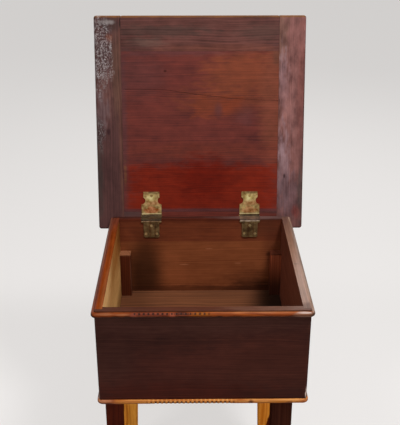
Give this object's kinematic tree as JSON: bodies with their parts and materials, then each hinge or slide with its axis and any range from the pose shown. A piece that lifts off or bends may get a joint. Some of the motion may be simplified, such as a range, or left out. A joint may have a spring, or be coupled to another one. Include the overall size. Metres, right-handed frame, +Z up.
{
  "type": "sewing box on stand",
  "caption": "Rustic stained wood sewing box with a framed lid on brass hinges, half-round rim beads and inner tray posts, on a stand with square tapered legs and an open front.",
  "frame": {"origin": "on the floor, at the bottom centre of the object's outline with its lid open", "axes": "+Z up, +X to the user's right as they face the front, +Y from the front to the back, where the lid is hinged"},
  "size_m": [0.504, 0.5836, 1.1642],
  "materials": {
    "dark_stained_wood": "dark red-brown stain under old varnish",
    "red_brown_lid_wood": "red-brown stain, satin",
    "brown_inside_wood": "bare brown wood",
    "orange_bead_wood": "orange-brown varnish, satin",
    "honey_edge_wood": "honey varnish, satin",
    "sapwood": "clear varnish over sapwood",
    "aged_brass": "tarnished sheet brass",
    "bright_brass": "worn turned brass"
  },
  "bodies": {
    "box_and_stand": {"stand_top": "honey_edge_wood", "front_left_leg": "dark_stained_wood", "front_right_leg": "dark_stained_wood", "rear_left_leg": "sapwood", "rear_right_leg": "sapwood", "left_apron": "dark_stained_wood", "right_apron": "dark_stained_wood", "back_apron": "dark_stained_wood", "front_wall": "dark_stained_wood", "back_wall": "dark_stained_wood", "left_wall": "dark_stained_wood", "right_wall": "dark_stained_wood", "box_floor": "brown_inside_wood", "front_left_tray_post": "brown_inside_wood", "front_right_tray_post": "brown_inside_wood", "back_left_tray_post": "brown_inside_wood", "back_right_tray_post": "brown_inside_wood", "front_rim_bead": "orange_bead_wood", "left_rim_bead": "orange_bead_wood", "right_rim_bead": "orange_bead_wood", "left_hinge_rim_leaf": "aged_brass", "left_hinge_pin": "bright_brass", "right_hinge_rim_leaf": "aged_brass", "right_hinge_pin": "bright_brass", "left_hinge_rim_screw_1": "bright_brass", "left_hinge_rim_screw_2": "bright_brass", "left_hinge_rim_screw_3": "bright_brass", "right_hinge_rim_screw_1": "bright_brass", "right_hinge_rim_screw_2": "bright_brass", "right_hinge_rim_screw_3": "bright_brass"},
    "lid": {"lid_panel": "red_brown_lid_wood", "lid_left_stile": "dark_stained_wood", "lid_right_stile": "dark_stained_wood", "lid_front_rail": "dark_stained_wood", "lid_rear_rail": "dark_stained_wood", "left_hinge_lid_leaf": "aged_brass", "right_hinge_lid_leaf": "aged_brass", "left_hinge_lid_screw_1": "bright_brass", "left_hinge_lid_screw_2": "bright_brass", "left_hinge_lid_screw_3": "bright_brass", "right_hinge_lid_screw_1": "bright_brass", "right_hinge_lid_screw_2": "bright_brass", "right_hinge_lid_screw_3": "bright_brass"}
  },
  "joints": [
    {"name": "lid_hinge", "type": "hinge", "parent": "box_and_stand", "child": "lid", "pos_m": [0, 0.16246, 0.69515], "axis": [1, 0, 0], "range_deg": [0, 103.1]}
  ]
}
